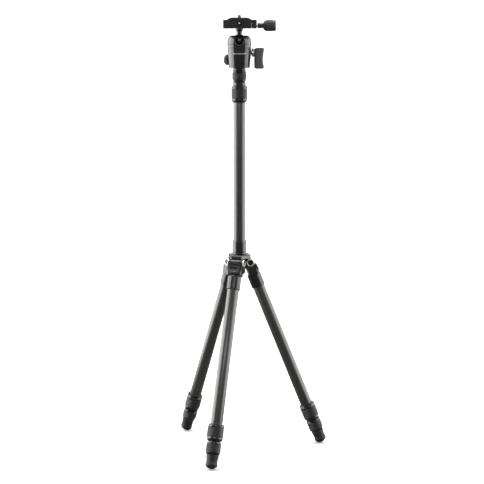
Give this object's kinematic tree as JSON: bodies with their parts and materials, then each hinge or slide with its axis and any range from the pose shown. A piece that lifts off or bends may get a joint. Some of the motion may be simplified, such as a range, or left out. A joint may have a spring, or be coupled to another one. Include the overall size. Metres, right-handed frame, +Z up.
{
  "type": "travel tripod with ball head",
  "caption": "Compact folding tripod with a telescoping centre column, small ball head and quick-release clamp that ends in a camera stud.",
  "frame": {"origin": "centre column's axis at floor level, with the legs at their first angle stop", "axes": "+Z up the column, -Y towards the front with the ball's drop notch, +X along the clamp's screw"},
  "size_m": [0.2831, 0.2923, 0.818],
  "materials": {
    "black_anodised": "satin black anodised",
    "black_cast": "fine textured black enamel",
    "carbon_tube": "clear-coated carbon fibre",
    "bright_steel": "satin steel",
    "grip_rubber": "moulded ribbed rubber",
    "foot_rubber": "matte moulded rubber",
    "knob_plastic": "spark-textured black nylon",
    "bearing_plastic": "natural acetal",
    "accent_silver": "bright brushed aluminium",
    "level_glass": "tinted clear acrylic",
    "ball_black": "polished black"
  },
  "bodies": {
    "crown": {"crown": "black_cast", "column_bush": "bearing_plastic", "leg_hinge_bolts": "bright_steel", "hinge_caps": "bright_steel"},
    "collar": {"column_collar": "black_anodised"},
    "column_lower": {"column_tube_lower": "carbon_tube", "column_end_plug": "knob_plastic"},
    "column_lock_lower": {"column_lock_lower": "grip_rubber"},
    "column_middle": {"column_tube_middle": "carbon_tube", "column_ferrule": "black_anodised", "column_middle_shims": "bearing_plastic"},
    "column_lock_upper": {"column_lock_upper": "grip_rubber"},
    "column_upper": {"column_tube_upper": "carbon_tube", "head_platform": "black_anodised", "head_stud": "bright_steel", "pan_base": "black_anodised"},
    "head": {"ball_housing": "black_anodised", "accent_strip": "accent_silver", "ball_cup": "bearing_plastic", "ball_wedge": "bright_steel"},
    "ball_lock": {"ball_lock_shaft": "bright_steel", "ball_lock_knob": "knob_plastic"},
    "pan_lock": {"pan_lock_knob": "knob_plastic", "pan_lock_screw": "bright_steel"},
    "ball": {"ball": "ball_black", "clamp_bolt": "bright_steel"},
    "clamp": {"clamp_body": "black_anodised", "clamp_guide_pins": "bright_steel", "level_bezel": "black_anodised", "level_vial": "level_glass"},
    "clamp_jaw": {"clamp_jaw": "black_anodised"},
    "clamp_knob": {"clamp_knob": "knob_plastic", "clamp_screw": "bright_steel"},
    "plate": {"quick_release_plate": "black_anodised", "plate_pads": "foot_rubber"},
    "camera_screw": {"camera_screw": "bright_steel"},
    "leg_front": {"leg_front_yoke": "black_cast", "leg_front_tube_upper": "carbon_tube"},
    "leg_front_latch": {"leg_front_latch": "black_anodised"},
    "leg_front_lock_upper": {"leg_front_lock_upper": "grip_rubber"},
    "leg_front_middle": {"leg_front_tube_middle": "carbon_tube"},
    "leg_front_lock_lower": {"leg_front_lock_lower": "grip_rubber"},
    "leg_front_lower": {"leg_front_tube_lower": "carbon_tube", "leg_front_foot": "foot_rubber"},
    "leg_left": {"leg_left_yoke": "black_cast", "leg_left_tube_upper": "carbon_tube"},
    "leg_left_latch": {"leg_left_latch": "black_anodised"},
    "leg_left_lock_upper": {"leg_left_lock_upper": "grip_rubber"},
    "leg_left_middle": {"leg_left_tube_middle": "carbon_tube"},
    "leg_left_lock_lower": {"leg_left_lock_lower": "grip_rubber"},
    "leg_left_lower": {"leg_left_tube_lower": "carbon_tube", "leg_left_foot": "foot_rubber"},
    "leg_right": {"leg_right_yoke": "black_cast", "leg_right_tube_upper": "carbon_tube"},
    "leg_right_latch": {"leg_right_latch": "black_anodised"},
    "leg_right_lock_upper": {"leg_right_lock_upper": "grip_rubber"},
    "leg_right_middle": {"leg_right_tube_middle": "carbon_tube"},
    "leg_right_lock_lower": {"leg_right_lock_lower": "grip_rubber"},
    "leg_right_lower": {"leg_right_tube_lower": "carbon_tube", "leg_right_foot": "foot_rubber"}
  },
  "joints": [
    {"name": "leg_front_hinge", "type": "hinge", "parent": "crown", "child": "leg_front", "pos_m": [-0.00577, -0.01705, 0.358], "axis": [-0.9472, 0.3206, 0], "range_deg": [-8, 58]},
    {"name": "leg_front_latch_pull", "type": "slide", "parent": "leg_front", "child": "leg_front_latch", "axis": [-0.2973, -0.8782, 0.3746], "range_m": [0, 0.003], "stiffness_N_per_m": 300},
    {"name": "leg_front_lock_upper_turn", "type": "hinge", "parent": "leg_front", "child": "leg_front_lock_upper", "pos_m": [-0.00577, -0.01705, 0.358], "axis": [-0.1201, -0.3548, -0.9272], "range_deg": [0, 120]},
    {"name": "leg_front_section_1_slide", "type": "slide", "parent": "leg_front", "child": "leg_front_middle", "axis": [-0.1201, -0.3548, -0.9272], "range_m": [0, 0.2]},
    {"name": "leg_front_lock_lower_turn", "type": "hinge", "parent": "leg_front_middle", "child": "leg_front_lock_lower", "pos_m": [-0.00577, -0.01705, 0.358], "axis": [-0.1201, -0.3548, -0.9272], "range_deg": [0, 120]},
    {"name": "leg_front_section_2_slide", "type": "slide", "parent": "leg_front_middle", "child": "leg_front_lower", "axis": [-0.1201, -0.3548, -0.9272], "range_m": [0, 0.2]},
    {"name": "leg_left_hinge", "type": "hinge", "parent": "crown", "child": "leg_left", "pos_m": [-0.01188, 0.01352, 0.358], "axis": [0.7513, 0.66, 0], "range_deg": [-8, 58]},
    {"name": "leg_left_latch_pull", "type": "slide", "parent": "leg_left", "child": "leg_left_latch", "axis": [-0.6119, 0.6966, 0.3746], "range_m": [0, 0.003], "stiffness_N_per_m": 300},
    {"name": "leg_left_lock_upper_turn", "type": "hinge", "parent": "leg_left", "child": "leg_left_lock_upper", "pos_m": [-0.01188, 0.01352, 0.358], "axis": [-0.2472, 0.2814, -0.9272], "range_deg": [0, 120]},
    {"name": "leg_left_section_1_slide", "type": "slide", "parent": "leg_left", "child": "leg_left_middle", "axis": [-0.2472, 0.2814, -0.9272], "range_m": [0, 0.2]},
    {"name": "leg_left_lock_lower_turn", "type": "hinge", "parent": "leg_left_middle", "child": "leg_left_lock_lower", "pos_m": [-0.01188, 0.01352, 0.358], "axis": [-0.2472, 0.2814, -0.9272], "range_deg": [0, 120]},
    {"name": "leg_left_section_2_slide", "type": "slide", "parent": "leg_left_middle", "child": "leg_left_lower", "axis": [-0.2472, 0.2814, -0.9272], "range_m": [0, 0.2]},
    {"name": "leg_right_hinge", "type": "hinge", "parent": "crown", "child": "leg_right", "pos_m": [0.01765, 0.00353, 0.358], "axis": [0.1959, -0.9806, 0], "range_deg": [-8, 58]},
    {"name": "leg_right_latch_pull", "type": "slide", "parent": "leg_right", "child": "leg_right_latch", "axis": [0.9092, 0.1817, 0.3746], "range_m": [0, 0.003], "stiffness_N_per_m": 300},
    {"name": "leg_right_lock_upper_turn", "type": "hinge", "parent": "leg_right", "child": "leg_right_lock_upper", "pos_m": [0.01765, 0.00353, 0.358], "axis": [0.3673, 0.0734, -0.9272], "range_deg": [0, 120]},
    {"name": "leg_right_section_1_slide", "type": "slide", "parent": "leg_right", "child": "leg_right_middle", "axis": [0.3673, 0.0734, -0.9272], "range_m": [0, 0.2]},
    {"name": "leg_right_lock_lower_turn", "type": "hinge", "parent": "leg_right_middle", "child": "leg_right_lock_lower", "pos_m": [0.01765, 0.00353, 0.358], "axis": [0.3673, 0.0734, -0.9272], "range_deg": [0, 120]},
    {"name": "leg_right_section_2_slide", "type": "slide", "parent": "leg_right_middle", "child": "leg_right_lower", "axis": [0.3673, 0.0734, -0.9272], "range_m": [0, 0.2]},
    {"name": "collar_turn", "type": "hinge", "parent": "crown", "child": "collar", "pos_m": [0, 0, 0.387], "axis": [0, 0, 1], "range_deg": [0, 120]},
    {"name": "column_slide", "type": "slide", "parent": "crown", "child": "column_lower", "axis": [0, 0, 1], "range_m": [-0.25, 0]},
    {"name": "column_lock_lower_turn", "type": "hinge", "parent": "column_lower", "child": "column_lock_lower", "pos_m": [0, 0, 0.673], "axis": [0, 0, 1], "range_deg": [0, 120]},
    {"name": "column_section_1_slide", "type": "slide", "parent": "column_lower", "child": "column_middle", "axis": [0, 0, 1], "range_m": [0, 0.23]},
    {"name": "column_lock_upper_turn", "type": "hinge", "parent": "column_middle", "child": "column_lock_upper", "pos_m": [0, 0, 0.706], "axis": [0, 0, 1], "range_deg": [0, 120]},
    {"name": "column_section_2_slide", "type": "slide", "parent": "column_middle", "child": "column_upper", "axis": [0, 0, 1], "range_m": [0, 0.23]},
    {"name": "pan_turn", "type": "hinge", "parent": "column_upper", "child": "head", "pos_m": [0, 0, 0.7273], "axis": [0, 0, 1], "continuous": true},
    {"name": "ball_lock_turn", "type": "hinge", "parent": "head", "child": "ball_lock", "pos_m": [0.027, 0, 0.7495], "axis": [1, 0, 0], "range_deg": [0, 180]},
    {"name": "pan_lock_turn", "type": "hinge", "parent": "head", "child": "pan_lock", "pos_m": [-0.0212, 0.01325, 0.7357], "axis": [-0.848, 0.5299, 0], "range_deg": [0, 180]},
    {"name": "ball_tilt", "type": "hinge", "parent": "head", "child": "ball", "pos_m": [0, 0, 0.771], "axis": [1, 0, 0], "range_deg": [-35, 90]},
    {"name": "ball_spin", "type": "hinge", "parent": "ball", "child": "clamp", "pos_m": [0, 0, 0.7936], "axis": [0, 0, 1], "continuous": true},
    {"name": "jaw_slide", "type": "slide", "parent": "clamp", "child": "clamp_jaw", "axis": [1, 0, 0], "range_m": [0, 0.005]},
    {"name": "clamp_knob_turn", "type": "hinge", "parent": "clamp_jaw", "child": "clamp_knob", "pos_m": [0.05, 0, 0.7987], "axis": [1, 0, 0], "range_deg": [0, 1440]},
    {"name": "plate_slide", "type": "slide", "parent": "clamp", "child": "plate", "axis": [0, 1, 0], "range_m": [0, 0.03]},
    {"name": "camera_screw_turn", "type": "hinge", "parent": "plate", "child": "camera_screw", "pos_m": [0, 0, 0.8152], "axis": [0, 0, 1], "continuous": true}
  ],
  "couplings": [
    {"joint": "clamp_knob_turn", "follows": "jaw_slide", "rad_per_m": 5026.5}
  ]
}
